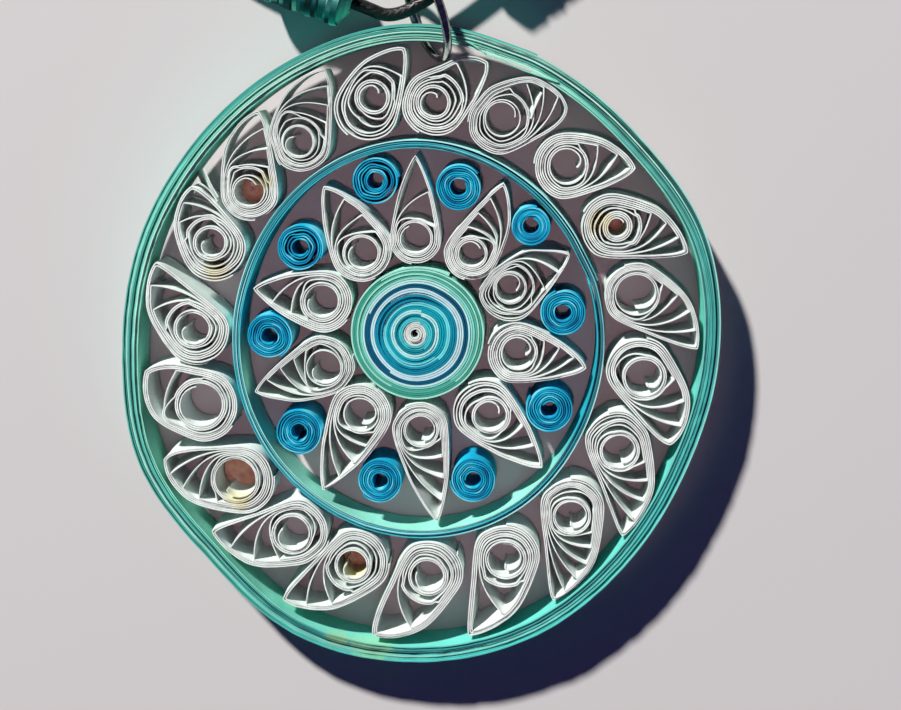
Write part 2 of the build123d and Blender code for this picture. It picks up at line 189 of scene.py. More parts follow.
def strip_tree():
    """Stands a strip of paper along each line drawn for it."""
    board, given, result = drawn_tree("strip_on_edge", "GeometryNodeTree", [
        ("Lines", "Geometry"), ("Strip Width", "Float", STRIP_WIDTH),
        ("Paper", "Float", 0.15 * MM), ("Uneven Edge", "Float", 0.1 * MM),
        ("Loose Lean", "Float", 0.0), ("Set Lean", "Float", 0.0), ("Turn Step", "Float", 0.0),
        ("Seed", "Float", 0.0), ("Material", "Material")],
        [("Strips", "Geometry")])
    line = board.out("GeometryNodeMeshToCurve", {"Mesh": given["Lines"]})
    level = board.out("GeometryNodeSetCurveNormal", {"Curve": line}, mode="Z_UP")
    kept = board.add("GeometryNodeCaptureAttribute", {"Geometry": level})
    kept.capture_items.new("VECTOR", "Side")
    kept.capture_items.new("VECTOR", "Middle")
    board.wire(board.out("GeometryNodeInputNormal"), kept.inputs["Side"])
    board.wire(board.out("GeometryNodeInputPosition"), kept.inputs["Middle"])
    section = board.out("GeometryNodeCurvePrimitiveQuadrilateral",
                        {"Width": given["Paper"], "Height": given["Strip Width"]})
    strip = board.out("GeometryNodeCurveToMesh", {
        "Curve": kept.outputs["Geometry"], "Profile Curve": section, "Fill Caps": True})
    middle = kept.outputs["Middle"]
    off = board.vector("SUBTRACT", board.out("GeometryNodeInputPosition"), middle)
    share = board.calc("DIVIDE", board.parts(off)["Z"], given["Strip Width"])
    top = board.calc("GREATER_THAN", share, 0.0)
    moved = board.vector("ADD", middle, board.upward(given["Seed"]))

    # The top edge: ragged along the strip, and each turn a little higher or lower than the next
    grain = board.minus(board.clouds(moved, 700.0, 3.0), 0.6)
    step = board.minus(board.waves(board.plus(board.read("turn"), given["Seed"]), 0.9), 0.65)
    rise = board.plus(board.times(grain, given["Uneven Edge"]),
                      board.times(step, given["Turn Step"]))
    rise = board.times(rise, top)
    # Both edges draw in where the strip is marked narrow
    rise = board.minus(rise, board.times(board.times(share, 2.0), board.read("narrow")))
    # The foot leans aside: by chance where the strip is loose, and by a set amount
    drift = board.minus(board.clouds(moved, 260.0, 1.0), 0.5)
    lean = board.times(board.times(drift, given["Loose Lean"]), board.read("loose"))
    lean = board.times(board.plus(lean, given["Set Lean"]), board.minus(1.0, top))
    shift = board.vector("ADD", board.vector("SCALE", kept.outputs["Side"], scale=lean),
                         board.upward(rise))
    shaped = board.out("GeometryNodeSetPosition", {"Geometry": strip, "Offset": shift})

    marked = board.out("GeometryNodeStoreNamedAttribute", {
        "Geometry": shaped, "Name": "up", "Value": board.plus(share, 0.5)},
        data_type="FLOAT", domain="POINT")
    round_off = board.out("GeometryNodeSetShadeSmooth", {
        "Geometry": marked, "Shade Smooth": True}, domain="FACE")
    bent = board.add("GeometryNodeInputMeshEdgeAngle").outputs["Unsigned Angle"]
    crisp = board.out("GeometryNodeSetShadeSmooth", {
        "Geometry": round_off, "Selection": board.calc("GREATER_THAN", bent, 0.7),
        "Shade Smooth": False}, domain="EDGE")
    finish_tree(board, given, result, crisp)
    return board.tree


def finish_tree(board, given, result, last):
    """End a tree with plain geometry in the material it was given."""
    whole = board.out("GeometryNodeRealizeInstances", {0: last})
    done = board.out("GeometryNodeSetMaterial", {"Geometry": whole, "Material": given["Material"]})
    board.wire(done, result[0])


def cord_tree():
    """A round cord along its drawn line, with its length and girth marked on it for the braid."""
    board, given, result = drawn_tree("braided_cord", "GeometryNodeTree", [
        ("Route", "Geometry"), ("Diameter", "Float", 1.3 * MM), ("Sides", "Int", 20),
        ("Material", "Material")], [("Cord", "Geometry")])
    circle = board.out("GeometryNodeCurvePrimitiveCircle", {
        "Resolution": given["Sides"], "Radius": board.times(given["Diameter"], 0.5)})
    line, girth = (board.out("GeometryNodeStoreNamedAttribute", {
        "Geometry": geometry, "Name": name,
        "Value": board.add("GeometryNodeSplineParameter").outputs[way]}, data_type="FLOAT")
        for geometry, name, way in ((given["Route"], "along", "Length"),
                                    (circle, "around", "Factor")))
    tube = board.out("GeometryNodeCurveToMesh", {
        "Curve": line, "Profile Curve": girth, "Fill Caps": True})
    smooth = board.out("GeometryNodeSetShadeSmooth", {"Geometry": tube, "Shade Smooth": True})
    finish_tree(board, given, result, smooth)
    return board.tree


def grown(name, data, tree, values):
    """The plain mesh that a tree makes from drawn lines, as a finished object."""
    source = bpy.data.objects.new(name + "_lines", data)
    scene.collection.objects.link(source)
    modifier = source.modifiers.new("maker", "NODES")
    modifier.node_group = tree
    for item in tree.interface.items_tree:
        if item.in_out == "INPUT" and item.name in values:
            modifier[item.identifier] = values[item.name]
    bpy.context.view_layer.update()
    depsgraph = bpy.context.evaluated_depsgraph_get()
    mesh = bpy.data.meshes.new_from_object(source.evaluated_get(depsgraph), depsgraph=depsgraph)
    source.modifiers.remove(modifier)
    bpy.data.objects.remove(source)
    mesh.name = name
    piece = bpy.data.objects.new(name, mesh)
    scene.collection.objects.link(piece)
    return piece


# ---------------------------------------------------------------- materials

def fibre_group():
    """The clouded tint and fine tooth of cheap coloured paper."""
    board, given, result = drawn_tree("paper_fibre", "ShaderNodeTree", [
        ("Fibre Scale", "Float", 5200.0), ("Cloud Scale", "Float", 420.0)],
        [("Tint", "Float"), ("Tooth", "Float")])
    place = board.place()
    cloud = board.clouds(place, given["Cloud Scale"], 4.0)
    laid = board.vector("MULTIPLY", place, (1.0, 1.0, 0.35))
    fibre = board.clouds(laid, given["Fibre Scale"], 3.0, 1.2)
    board.wire(board.plus(board.times(cloud, 0.6), board.times(fibre, 0.4)), result["Tint"])
    board.wire(fibre, result["Tooth"])
    return board.tree


def glue_group():
    """A dried run of glue round a place: strongest at its middle, ragged at its edge."""
    board, given, result = drawn_tree("glue_run", "ShaderNodeTree", [
        ("Place", "Vector"), ("Reach", "Float", 1.0 * MM)], [("Mask", "Float")])
    place = board.place()
    ragged = board.minus(board.clouds(place, 1400.0, 3.0), 0.5)
    away = board.calc("DIVIDE", board.vector("DISTANCE", place, given["Place"]), given["Reach"])
    away = board.plus(away, board.times(ragged, 0.9))
    board.wire(board.span(away, 1.0, 0.45), result["Mask"])
    return board.tree


FIBRE = fibre_group()
GLUE = glue_group()
MATERIALS = {}

# Runs of dried glue on the pendant: place in its plan, reach, colour and strength
YELLOWED, BROWNED = (0.72, 0.66, 0.30), (0.42, 0.24, 0.12)
RING_STAINS = [((-4.5, -30.5, 5.0), 3.2, (0.36, 0.62, 0.28), 0.4),
               ((-8.0, -29.5, 5.0), 2.0, (0.44, 0.58, 0.22), 0.4)]
PETAL_STAINS = [((18.2, 13.4, 4.6), 1.7, YELLOWED, 0.6), ((20.2, 12.6, 3.5), 1.3, BROWNED, 0.6),
                ((-6.4, -22.4, 3.5), 2.0, YELLOWED, 0.8), ((-6.2, -23.2, 1.5), 1.8, BROWNED, 0.8),
                ((-18.2, -14.9, 4.6), 1.9, YELLOWED, 0.6), ((-20.0, 8.4, 4.6), 1.6, YELLOWED, 0.5),
                ((-16.1, 16.8, 2.5), 2.2, BROWNED, 0.55), ((-15.0, 17.3, 4.8), 1.3, YELLOWED, 0.5)]


def new_material(name):
    """A new material, kept under its name: the board for its nodes, and its shader."""
    material = MATERIALS[name] = bpy.data.materials.new(name)
    material.use_nodes = True
    board = Board(material.node_tree)
    return board, board.tree.nodes["Principled BSDF"]


def dress(board, shader, colour, rough, relief, strength, depth, gloss=0.5):
    """Wire a material's colour and roughness, and the relief that a height gives it."""
    bump = board.out("ShaderNodeBump", {"Height": relief, "Strength": strength, "Distance": depth})
    for socket, value in (("Base Color", colour), ("Roughness", rough), ("Normal", bump)):
        board.wire(value, shader.inputs[socket])
    shader.inputs["Specular IOR Level"].default_value = gloss


def finish_paper(board, shader, colour, edge=0.03, stains=(), painted_shade=None, painted_shade_strength=0.0, turns=7):
    """Paper's shared finish over its colour: fibre, painted highlight on top, painted shade low on
    inner turns, glue and tooth.
    """
    if painted_shade:
        # Painted shade: little light comes between the turns, so all but the first and last are
        # painted darker downwards
        level = board.times(board.read("wound"), turns)
        within = board.times(board.span(level, 0.8, 1.0),
                             board.span(level, turns - 0.8, turns - 1.0))
        painted_shade_share = board.times(board.span(board.read("up"), 1.0, 0.7, 0.0, painted_shade_strength), within)
        colour = board.blend(painted_shade_share, colour, painted_shade)
    fibre = board.add("ShaderNodeGroup", node_tree=FIBRE).outputs
    colour = board.blend(board.span(fibre["Tint"], 0.3, 0.7, 0.16, 0.0), colour, (0.0, 0.02, 0.03))
    facing = board.add("ShaderNodeNewGeometry").outputs["Normal"]
    # Painted highlight: faces that look upward are paled towards white
    painted_top_highlight = board.span(board.parts(facing)["Z"], 0.5, 0.9, 0.0, edge)
    colour = board.blend(painted_top_highlight, colour, (1.0, 1.0, 0.96))
    for place, reach, stain, strength in stains:
        spot = {"Place": LIE @ (Vector(place) * MM), "Reach": reach * MM}
        run = board.out("ShaderNodeGroup", spot, node_tree=GLUE)
        colour = board.blend(board.times(run, strength), colour, stain)
    rough = board.span(fibre["Tint"], 0.3, 0.7, 0.78, 0.95)
    dress(board, shader, colour, rough, fibre["Tooth"], 0.35, 0.03 * MM, gloss=0.25)


def dyed(name, pace, stops):
    """A paper whose tone changes along its winding: its board, shader, winding and colour."""
    board, shader = new_material(name)
    wound = board.read("wound")
    return board, shader, wound, board.ramp(board.waves(board.times(wound, pace)), stops)


def mint_paper():
    board, shader, wound, colour = dyed("mint_paper", 19.0, [
        (0.38, (0.001, 0.09, 0.09)), (0.46, (0.04, 0.42, 0.36)),
        (0.54, (0.20, 0.76, 0.60)), (0.62, (0.50, 0.96, 0.80))])
    outermost, innermost = board.span(wound, 0.07, 0.04), board.span(wound, 0.90, 0.93)
    colour = board.blend(outermost, colour, (0.05, 0.46, 0.38))
    colour = board.blend(innermost, colour, (0.24, 0.76, 0.58))
    x, y, _ = board.parts(board.place())
    cyan = board.span(board.minus(x, y), 0.0, 45 * MM)
    colour = board.blend(board.times(cyan, 0.55), colour, (0.05, 0.60, 0.60))
    # The inner turns are painted darker towards their foot: painted shade
    finish_paper(board, shader, colour, stains=RING_STAINS, painted_shade=(0.001, 0.03, 0.04), painted_shade_strength=0.97,
                 turns=10)


def teal_paper():
    board, shader, wound, colour = dyed("teal_paper", 9.0, [
        (0.38, (0.0, 0.14, 0.19)), (0.46, (0.004, 0.36, 0.46)),
        (0.54, (0.03, 0.52, 0.60)), (0.61, (0.44, 0.92, 0.90))])
    x, y, _ = board.parts(board.place())
    lower = board.plus(board.times(x, 0.35), y)
    low_half = board.span(lower, -4 * MM, -12 * MM)
    inner = board.blend(low_half, (0.004, 0.48, 0.58), (0.30, 0.80, 0.66))
    colour = board.blend(board.span(wound, 0.76, 0.80), colour, inner)
    # The inner turns are painted darker towards their foot: painted shade
    finish_paper(board, shader, colour, painted_shade=(0.001, 0.02, 0.05), painted_shade_strength=0.95, turns=5)


def striped_paper():
    """The centre coil: strips of several blues and greens joined end to end."""
    board, shader = new_material("striped_paper")
    stops = [(0.0, (0.66, 0.76, 0.72)), (0.13, (0.06, 0.60, 0.66)), (0.21, (0.0, 0.26, 0.34)),
             (0.265, (0.46, 0.88, 0.88)), (0.33, (0.0, 0.40, 0.52)), (0.41, (0.16, 0.74, 0.80)),
             (0.475, (0.0, 0.28, 0.42)), (0.59, (0.54, 0.84, 0.90)), (0.68, (0.0, 0.10, 0.20)),
             (0.755, (0.52, 0.88, 0.84)), (0.80, (0.24, 0.76, 0.66)), (0.84, (0.08, 0.48, 0.37)),
             (0.88, (0.32, 0.80, 0.62)), (0.91, (0.05, 0.38, 0.29)), (0.96, (0.36, 0.86, 0.70))]
    colour = board.ramp(board.minus(1.0, board.read("wound")), stops, hard=True)
    # The inner turns are painted darker towards their foot: painted shade
    finish_paper(board, shader, colour, edge=0.0, painted_shade=(0.001, 0.10, 0.15), painted_shade_strength=0.6, turns=30)


def white_paper():
    board, shader = new_material("white_paper")
    aged = board.clouds(board.place(), 90.0)
    colour = board.ramp(aged, [(0.35, (0.76, 0.88, 0.84)), (0.65, (0.81, 0.91, 0.88))])
    # Its upward faces take the strongest painted highlight
    finish_paper(board, shader, colour, edge=0.10, stains=PETAL_STAINS)


def blue_paper():
    board, shader, _, colour = dyed("blue_paper", 11.0, [
        (0.32, (0.001, 0.12, 0.30)), (0.46, (0.002, 0.32, 0.56)),
        (0.56, (0.0, 0.48, 0.74)), (0.64, (0.14, 0.72, 0.92))])
    # The inner turns are painted darker towards their foot: painted shade
    finish_paper(board, shader, colour, edge=0.0, painted_shade=(0.001, 0.02, 0.08), painted_shade_strength=0.9)


def bead_paper():
    board, shader, wound, colour = dyed("bead_paper", 47.0, [
        (0.40, (0.001, 0.03, 0.03)), (0.48, (0.01, 0.17, 0.16)),
        (0.55, (0.05, 0.40, 0.36)), (0.61, (0.50, 0.92, 0.76))])
    # The roll inside is marked past 1, and is paler than the strip round it
    colour = board.blend(board.span(wound, 1.1, 1.2, 0.0, 0.7), colour, (0.50, 0.86, 0.72))
    finish_paper(board, shader, colour)


def dried_glue():
    """A brown film of glue that ran down inside a petal's eye and dried there."""
    board, shader = new_material("dried_glue")
    cloud = board.clouds(board.place(), 900.0, 3.0)
    colour = board.ramp(cloud, [(0.35, (0.52, 0.22, 0.16)), (0.65, (0.70, 0.42, 0.28))])
    dress(board, shader, colour, board.span(cloud, 0.3, 0.7, 0.25, 0.5), cloud, 0.3, 0.1 * MM)


def steel():
    board, shader = new_material("steel")
    rub = board.clouds(board.place(), 2600.0, 3.0)
    colour = board.ramp(rub, [(0.3, (0.22, 0.22, 0.21)), (0.7, (0.50, 0.50, 0.49))])
    dress(board, shader, colour, board.span(rub, 0.3, 0.7, 0.10, 0.26), rub, 0.15, 0.02 * MM)
    shader.inputs["Metallic"].default_value = 1.0


def waxed_cord():
    """Black cord of crossing plaits under a skin of wax."""
    board, shader = new_material("waxed_cord")
    lay = board.calc("DIVIDE", board.read("along"), 1.5 * MM)
    girth = board.times(board.read("around"), 4.0)
    ways = [board.times(way, math.tau) for way in (board.plus(lay, girth), board.minus(lay, girth))]
    halves = [board.calc("SINE", board.times(way, 0.5)) for way in ways]
    over = board.calc("GREATER_THAN", board.times(*halves), 0.0)
    one, other = (board.calc("ABSOLUTE", board.calc("SINE", way)) for way in ways)
    height = board.plus(board.times(one, over), board.times(other, board.minus(1.0, over)))
    # Painted shade: the grooves between the plaits are a touch darker than their crowns
    colour = board.ramp(height, [(0.0, (0.001, 0.001, 0.001)), (1.0, (0.006, 0.006, 0.007))])
    wax = board.clouds(board.place(), 900.0, 3.0)
    dress(board, shader, colour, board.span(wax, 0.35, 0.65, 0.30, 0.55), height, 0.5, 0.06 * MM,
          gloss=0.35)


for make in (mint_paper, teal_paper, striped_paper, white_paper, blue_paper, bead_paper, dried_glue,
             steel, waxed_cord):
    make()
STRIP = strip_tree()


def settle(piece, slot, *replaced):
    """Let a finished piece ride on the pendant and stand for its CAD nodes, which it hides. Its
    slot is not used.
    """
    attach(piece, "root")
    if replaced:
        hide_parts(*replaced)
    return piece


# ---------------------------------------------------------------- cord

CORD = 1.3 * MM
# The route's points, from the left crimp through the beads and the jump ring to the coil
CORD_ROUTE = [
    (-34.23, 43.20, 1.25), (-27.83, 41.00, 1.25), (-21.83, 37.70, 1.9), (-16.81, 35.35, 3.0),
    (-5.40, 31.31, 3.0), (-2.83, 30.15, 2.5), (1.48, 32.35, 2.4), (4.25, 35.40, 3.0),
    (13.79, 42.85, 3.0), (19.37, 46.20, 1.3), (25.37, 49.40, 0.7)]
COIL_CENTRE = Vector((19.77, 57.80)) * MM
COIL_ENTRY = -38.0
# The radius and height at which each turn of the coil starts. The last turn keeps its own
COIL_TURNS = [(8.3, 0.65), (7.0, 0.65), (5.7, 0.65), (5.7, 1.95), (7.0, 1.95), (8.3, 1.95),
              (7.0, 3.25), (8.3, 3.25)]
COIL_POINTS = 16
# A smooth line runs inside the points of its turns, at this share of their radius
RUNS_INSIDE = 0.99
# The last turn leaves the coil down to the right crimp: angle, radius and height
COIL_LEAD_OUT = [(-38, 8.3, 3.25), (-15, 8.3, 3.25), (8, 8.3, 3.25), (31, 8.35, 3.2),
                 (54, 8.8, 2.9), (75, 9.6, 2.0), (95, 10.1, 1.3), (115, 10.25, 1.15)]


def on_coil(angle, radius, height):
    """A place on the cord's coil, from degrees and millimetres."""
    a = math.radians(angle)
    return Vector((COIL_CENTRE.x + radius * MM * math.cos(a),
                   COIL_CENTRE.y + radius * MM * math.sin(a), height * MM))


def cord_points():
    points = [Vector(p) * MM for p in CORD_ROUTE]
    for turn, (radius, height) in enumerate(COIL_TURNS):
        later = COIL_TURNS[min(turn + 1, len(COIL_TURNS) - 1)]
        for k in range(COIL_POINTS):
            share = k / COIL_POINTS
            # A turn that climbs to the next layer does so in its last quarter
            climb = max(0.0, share * 4 - 3) if later[1] != height else share
            r = radius + (later[0] - radius) * climb
            z = height + (later[1] - height) * climb
            points.append(on_coil(COIL_ENTRY + 360 * share, r / RUNS_INSIDE, z))
    return points + [on_coil(*row) for row in COIL_LEAD_OUT]


def drawn_route(name, points):
    """One smooth open line with the route's points as its control points."""
    curve = bpy.data.curves.new(name, "CURVE")
    curve.dimensions = "3D"
    curve.resolution_u = 8
    spline = curve.splines.new("NURBS")
    spline.points.add(len(points) - 1)
    for point, place in zip(spline.points, points):
        point.co = (*place, 1.0)
    spline.order_u = 3
    spline.use_endpoint_u = True
    return curve


def line_of(curve):
    """The points of a drawn route's own smooth line."""
    holder = bpy.data.objects.new("route_reading", curve)
    scene.collection.objects.link(holder)
    bpy.context.view_layer.update()
    depsgraph = bpy.context.evaluated_depsgraph_get()
    mesh = bpy.data.meshes.new_from_object(holder.evaluated_get(depsgraph), depsgraph=depsgraph)
    points = [v.co.copy() for v in mesh.vertices]
    bpy.data.objects.remove(holder)
    bpy.data.meshes.remove(mesh)
    return points


route = drawn_route("neck_cord_route", cord_points())
cord_line = line_of(route)
neck_cord = grown("waxed_neck_cord", route, cord_tree(), {
    "Diameter": CORD, "Sides": 20, "Material": MATERIALS["waxed_cord"]})
settle(neck_cord, "waxed_cord", "neck_cord", "cord_coil")


# ---------------------------------------------------------------- reading the CAD's outlines

# In millimetres: how far below the top an edge may lie, and a corner inside its outline
TOP_BAND = 0.2
OUTLINE_BAND = 0.02
# The search for a petal's eye: least radius, the first grid's pitch, then ever smaller steps
LEAST_EYE = 0.5
EYE_GRID, EYE_STEPS = 0.35, (0.2, 0.1, 0.05)


def top_edges(node):
    """A node's points in the pendant's plan, in millimetres, and the edges of its top face."""
    mesh = nodes[node].data
    places = np.array([UNLIE @ v.co for v in mesh.vertices]) / MM
    top = places[:, 2] > places[:, 2].max() - TOP_BAND
    pairs = np.array([e.vertices[:] for e in mesh.edges])
    pairs = pairs[top[pairs[:, 0]] & top[pairs[:, 1]]]
    return places[top][:, :2], places[pairs[:, 0]][:, :2], places[pairs[:, 1]][:, :2]


def crossings(centre, ways, a, b):
    """How far along each way from a centre each edge is crossed, or nan."""
    edge = b - a
    off = a - centre
    across = ways[:, 0:1] * edge[:, 1] - ways[:, 1:2] * edge[:, 0]
    across[np.abs(across) < 1e-9] = 1e-9
    far = (off[:, 0] * edge[:, 1] - off[:, 1] * edge[:, 0]) / across
    share = (off[:, 0] * ways[:, 1:2] - off[:, 1] * ways[:, 0:1]) / across
    return np.where((far > 1e-3) & (share > -1e-6) & (share < 1 + 1e-6), far, np.nan)


def ways_at(angles):
    return np.stack([np.cos(angles), np.sin(angles)], 1)


def eye_of(a, b, low, high):
    """The middle of the round eye in a petal: where the nearest walls are most even."""
    ways = ways_at(np.arange(16) * math.tau / 16)

    def evenness(place):
        near = np.nanmin(crossings(place, ways, a, b), axis=1)
        return 0.0 if np.isnan(near).any() or near.min() < LEAST_EYE else near.min() / near.max()

    with np.errstate(all="ignore"):
        score, x, y = max((evenness(np.array((x, y))), x, y)
                          for x in np.arange(low[0], high[0], EYE_GRID)
                          for y in np.arange(low[1], high[1], EYE_GRID))
        place = np.array((x, y))
        for step in EYE_STEPS:
            for _ in range(8):
                trial, way = max((evenness(place + np.array(way) * step), way)
                                 for way in ((1, 0), (-1, 0), (0, 1), (0, -1)))
                if trial <= score:
                    break
                score = trial
                place = place + np.array(way) * step
    return place


def outline_of(node, centre):
    """The corners of a node's outline round a centre, in order of their angle."""
    points, a, b = top_edges(node)
    off = points - centre
    far = np.hypot(off[:, 0], off[:, 1])
    ways = off / far[:, None]
    with np.errstate(all="ignore"):
        limit = np.nanmax(crossings(centre, ways, a, b), axis=1)
    corners = {}
    for place, reach, most in zip(points, far, limit):
        if reach > most - OUTLINE_BAND:
            key = round(math.degrees(math.atan2(place[1] - centre[1], place[0] - centre[0])))
            if key not in corners or reach > math.dist(corners[key], centre):
                corners[key] = tuple(place)
    return [np.array(corners[k]) for k in sorted(corners)]


def curved(p0, p1, p2, p3, t):
    """A place on the smooth line through four points, part of the way from the second on."""
    return p1 + 0.5 * t * (p2 - p0 + t * (2 * p0 - 5 * p1 + 4 * p2 - p3
                                          + t * (3 * (p1 - p2) + p3 - p0)))


def rounded(corners, steps, sharp=None):
    """A closed line through the corners, curved between them, and crisp at one of them."""
    n = len(corners)
    out = []
    for i in range(n):
        p0, p1, p2, p3 = (corners[(i + k) % n] for k in (-1, 0, 1, 2))
        if i == sharp:
            p0 = p1
        if (i + 1) % n == sharp:
            p3 = p2
        out += [curved(p0, p1, p2, p3, s / steps) for s in range(steps)]
    return np.array(out)


def reach_of(centre, angles, line):
    """How far a closed line lies from a centre along each angle, 0 where it isn't met."""
    with np.errstate(all="ignore"):
        far = crossings(centre, ways_at(angles), line, np.roll(line, -1, axis=0))
        far = np.where(np.isnan(far), 0.0, far)
    return far.max(axis=1)


# ---------------------------------------------------------------- winding

def line_mesh(name, line, marks):
    """A mesh of one open line, with the named values at each of its points."""
    marks.setdefault("loose", [0.0] * len(line))
    marks.setdefault("turn", marks["loose"])
    mesh = bpy.data.meshes.new(name + "_lines")
    mesh.from_pydata([Vector(p) * MM for p in line], [(k, k + 1) for k in range(len(line) - 1)], [])
    for label, values in marks.items():
        mesh.attributes.new(label, "FLOAT", "POINT").data.foreach_set("value", values)
    return mesh


def stood(name, line, marks, slot, **values):
    """A strip of paper stood on edge along a line."""
    values = {key.replace("_", " ").title(): value for key, value in values.items()}
    return grown(name, line_mesh(name, line, marks), STRIP, dict(values, Material=MATERIALS[slot]))


def on_pendant(piece):
    """Lay a piece drawn in the pendant's own plan where the pendant lies."""
    piece.data.transform(LIE)
    return piece


def wander(rng, waves, count):
    """A smooth random value round a full turn, from 0 to 1."""
    angles = np.arange(count) * math.tau / count
    value = sum(rng.uniform(0.3, 1.0) * np.cos(m * angles + rng.uniform(0, math.tau)) / m ** 0.5
                for m in range(1, waves + 1))
    return 1 / (1 + np.exp(-1.4 * value))


# The least share of the free width between two turns, beside what chance adds to it
LEAST_GAP = 0.12


def wound_band(reach, inner_reach, turns, rng, paper, gaps=None, bunch=2.0):
    """Radii of a strip wound from outside in: the turns lie close in places and part in others."""
    count = len(reach)
    shares = np.array([(LEAST_GAP + wander(rng, 6, count)) ** bunch for _ in range(turns)])
    if gaps is not None:
        shares *= np.array(gaps)[:, None]
    free = reach - inner_reach - (turns + 1) * paper
    depth = np.cumsum(shares, axis=0) / shares.sum(axis=0) * free
    outer = reach - paper / 2
    return [outer] + [outer - (j + 1) * paper - depth[j] for j in range(turns)]


def at(centre, radius, angle):
    """A point of a drawn line, round a centre."""
    return centre[0] + radius * math.cos(angle), centre[1] + radius * math.sin(angle), MID


def spiral(centre, angles, radii, passing=1.0):
    """One line through the radii of successive turns, and the turns it has made at each point.

    Each turn passes smoothly into the next within the given share of its length.
    """
    line = []
    levels = []
    count = len(angles)
    for turn in range(len(radii) - 1):
        for i in range(count):
            share = i / count
            move = min(1.0, share / passing)
            radius = radii[turn][i] * (1 - move) + radii[turn + 1][i] * move
            line.append(at(centre, radius, angles[i]))
            levels.append(turn + share)
    line.append(at(centre, radii[-1][0], angles[0]))
    levels.append(len(radii) - 1.0)
    return line, levels


def seams(first, count):
    """Evenly spaced angles from the seam, given in degrees, where the strip starts."""
    return math.radians(first) + np.arange(count) * math.tau / count


def wound_piece(name, node, slot, centre, angles, radii, **values):
    """A piece wound of one strip through its turns' radii, in the place of its node."""
    line, levels = spiral(centre, angles, radii)
    marks = {"wound": [level / (len(radii) - 1) for level in levels], "turn": levels}
    return settle(on_pendant(stood(name, line, marks, slot, **values)), slot, node)


def ring_piece(name, node, slot, centre, thickness, turns, count, seam, draw, paper, bunch,
               **values):
    """A ring wound by hand inside the outline of its CAD wall."""
    angles = seams(seam, count)
    reach = reach_of(np.array(centre), angles, rounded(outline_of(node, np.array(centre)), 4))
    radii = wound_band(reach, reach - thickness, turns, random.Random(draw), paper, bunch=bunch)
    return wound_piece(name, node, slot, centre, angles, radii, paper=paper * MM, **values)


def coil_piece(name, node, slot, hole, turns, count, seam, draw, paper, gaps=None,
               astray=(0.0, 0.0), **values):
    """A round coil in the place of a CAD coil, its hole a little off its middle."""
    points = top_edges(node)[0]
    low, high = points.min(axis=0), points.max(axis=0)
    centre = (low + high) / 2 + np.array(astray)
    angles = seams(seam, count)
    off = ways_at(angles) @ np.array(astray)
    reach = np.sqrt(off ** 2 + ((high - low).mean() / 2) ** 2 - np.dot(astray, astray)) - off
    radii = wound_band(reach, np.full(count, hole), turns, random.Random(draw), paper, gaps, 1.0)
    return wound_piece(name, node, slot, centre, angles, radii, paper=paper * MM, seed=draw * 0.37,
                       **values)


ring_piece("wound_outer_ring", "outer_ring", "mint_paper", (0, 0), 1.8, turns=10, count=240,
           seam=68, draw=11, paper=0.135, bunch=2.5, uneven_edge=0.45 * MM, turn_step=1.3 * MM,
           seed=1.1)


def eased(places, steps=8):
    """A line curved smoothly through its places."""
    last = len(places) - 1
    line = []
    for i in range(last):
        around = [np.array(places[min(max(i + k, 0), last)]) for k in (-1, 0, 1, 2)]
        line += [curved(*around, share / steps) for share in range(steps)]
    return [(x, y, MID) for x, y in line + [np.array(places[-1])]]


# Strips that come away from what they were glued to: the outer ring's inner strip in two bows
# beside the jump ring, and petals' ends. Each has how far its foot leans, and its places
LOOSE_STRIPS = [
    ("loose_petal_leaf", "white_paper", 0.9,
     [(12.35, 25.9), (12.0, 25.2), (11.65, 24.4), (11.3, 23.4)]),
    ("loose_ring_strip_a", "mint_paper", 0.0,
     [(4.0, 31.1), (5.38, 30.6), (6.25, 30.03), (6.92, 29.42)]),
    ("loose_ring_strip_b", "mint_paper", 0.0,
     [(6.92, 29.42), (7.6, 29.28), (8.37, 29.04), (10.11, 28.19), (12.14, 27.48), (13.9, 26.9)]),
    ("loose_petal_end_a", "white_paper", 1.9,
     [(-20.83, 18.5), (-20.5, 17.7), (-20.1, 16.8), (-19.5, 15.7)]),
    ("loose_petal_end_b", "white_paper", 1.3,
     [(-21.5, 17.2), (-20.8, 16.8), (-20.2, 16.2), (-19.6, 15.3)])]
# They have the colour of this place along the winding
INNERMOST = 0.93
for name, slot, lean, places in LOOSE_STRIPS:
    line = eased(places)
    strip = stood(name, line, {"wound": [INNERMOST] * len(line)}, slot, paper=0.12 * MM,
                  uneven_edge=0.3 * MM, set_lean=lean * MM)
    settle(on_pendant(strip), slot)

ring_piece("wound_middle_ring", "middle_ring", "teal_paper", (0.2, 1.1), 1.0, turns=5, count=200,
           seam=20, draw=23, paper=0.11, bunch=3.0, uneven_edge=0.3 * MM, turn_step=0.9 * MM,
           seed=2.3)
coil_piece("wound_centre_coil", "centre_coil", "striped_paper", 0.28, turns=30, count=90, seam=60,
           draw=5, paper=0.17, astray=(-0.3, 0.0), uneven_edge=0.18 * MM, turn_step=0.4 * MM)

# Small blue coils: turns, and how open each turn lies, from the outside in
BLUE_COILS = [(7, None)] * 8 + [(6, (1, 1, 4, 1, 4, 1)), (6, (1, 5, 1, 5, 1, 1))]
for number, (turns, gaps) in enumerate(BLUE_COILS, start=1):
    coil_piece(f"small_blue_coil_{number:02d}", f"blue_coil_{number:02d}", "blue_paper", 0.72,
               turns, count=56, seam=37 * number, draw=100 + number, paper=0.13, gaps=gaps,
               uneven_edge=0.2 * MM, turn_step=0.3 * MM)


# ---------------------------------------------------------------- petals

